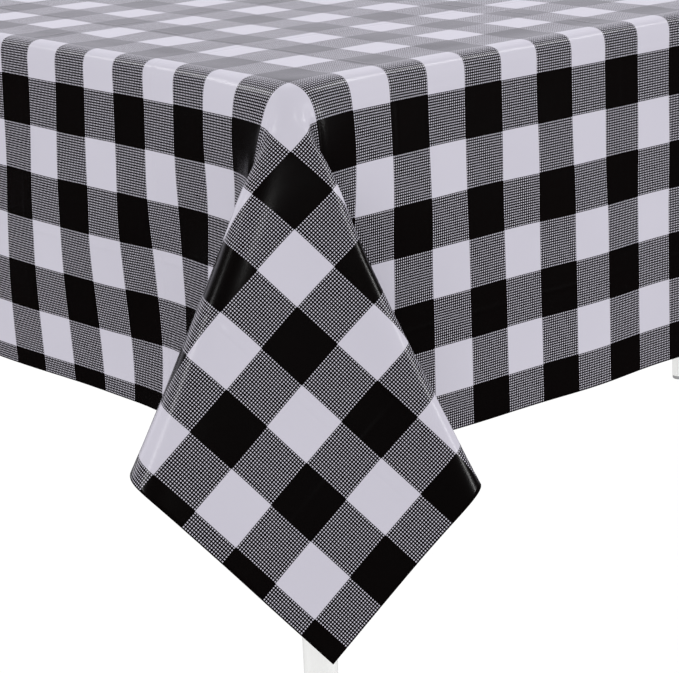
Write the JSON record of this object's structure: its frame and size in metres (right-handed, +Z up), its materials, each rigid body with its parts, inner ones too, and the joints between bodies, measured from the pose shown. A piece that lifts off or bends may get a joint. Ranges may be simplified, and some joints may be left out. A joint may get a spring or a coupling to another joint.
{
  "type": "tablecloth on a table",
  "caption": "Rectangular dining table under a checked vinyl tablecloth that hangs straight at the sides and in one pointed fold at each corner.",
  "frame": {"origin": "centre of the table's footprint, on the floor", "axes": "+X along the table's long side, +Z up; the front long side faces -Y"},
  "size_m": [1.8326, 1.2356, 0.7518],
  "materials": {
    "printed_vinyl": "glossy black and white buffalo-check print",
    "white_flannel": "brushed non-woven backing",
    "painted_wood": "white satin paint",
    "zinc_steel": "zinc plated",
    "nylon": "moulded"
  },
  "bodies": {
    "table": {"apron_back": "painted_wood", "apron_front": "painted_wood", "apron_left": "painted_wood", "apron_right": "painted_wood", "bracket_screw_back_left_1": "zinc_steel", "bracket_screw_back_left_2": "zinc_steel", "bracket_screw_back_right_1": "zinc_steel", "bracket_screw_back_right_2": "zinc_steel", "bracket_screw_front_left_1": "zinc_steel", "bracket_screw_front_left_2": "zinc_steel", "bracket_screw_front_right_1": "zinc_steel", "bracket_screw_front_right_2": "zinc_steel", "clip_screw_back_1": "zinc_steel", "clip_screw_back_2": "zinc_steel", "clip_screw_front_1": "zinc_steel", "clip_screw_front_2": "zinc_steel", "clip_screw_left": "zinc_steel", "clip_screw_right": "zinc_steel", "corner_bracket_back_left": "zinc_steel", "corner_bracket_back_right": "zinc_steel", "corner_bracket_front_left": "zinc_steel", "corner_bracket_front_right": "zinc_steel", "glide_back_left": "nylon", "glide_back_right": "nylon", "glide_front_left": "nylon", "glide_front_right": "nylon", "hanger_bolt_back_left": "zinc_steel", "hanger_bolt_back_right": "zinc_steel", "hanger_bolt_front_left": "zinc_steel", "hanger_bolt_front_right": "zinc_steel", "leg_back_left": "painted_wood", "leg_back_right": "painted_wood", "leg_front_left": "painted_wood", "leg_front_right": "painted_wood", "table_top": "painted_wood", "top_clip_back_1": "zinc_steel", "top_clip_back_2": "zinc_steel", "top_clip_front_1": "zinc_steel", "top_clip_front_2": "zinc_steel", "top_clip_left": "zinc_steel", "top_clip_right": "zinc_steel", "wing_nut_back_left": "zinc_steel", "wing_nut_back_right": "zinc_steel", "wing_nut_front_left": "zinc_steel", "wing_nut_front_right": "zinc_steel"},
    "tablecloth": {"flannel_backing": "white_flannel", "vinyl_cloth": "printed_vinyl"}
  },
  "joints": [
    {"name": "cloth_lift", "type": "slide", "parent": "table", "child": "tablecloth", "axis": [0, 0, 1], "range_m": [0, 0.45]}
  ]
}
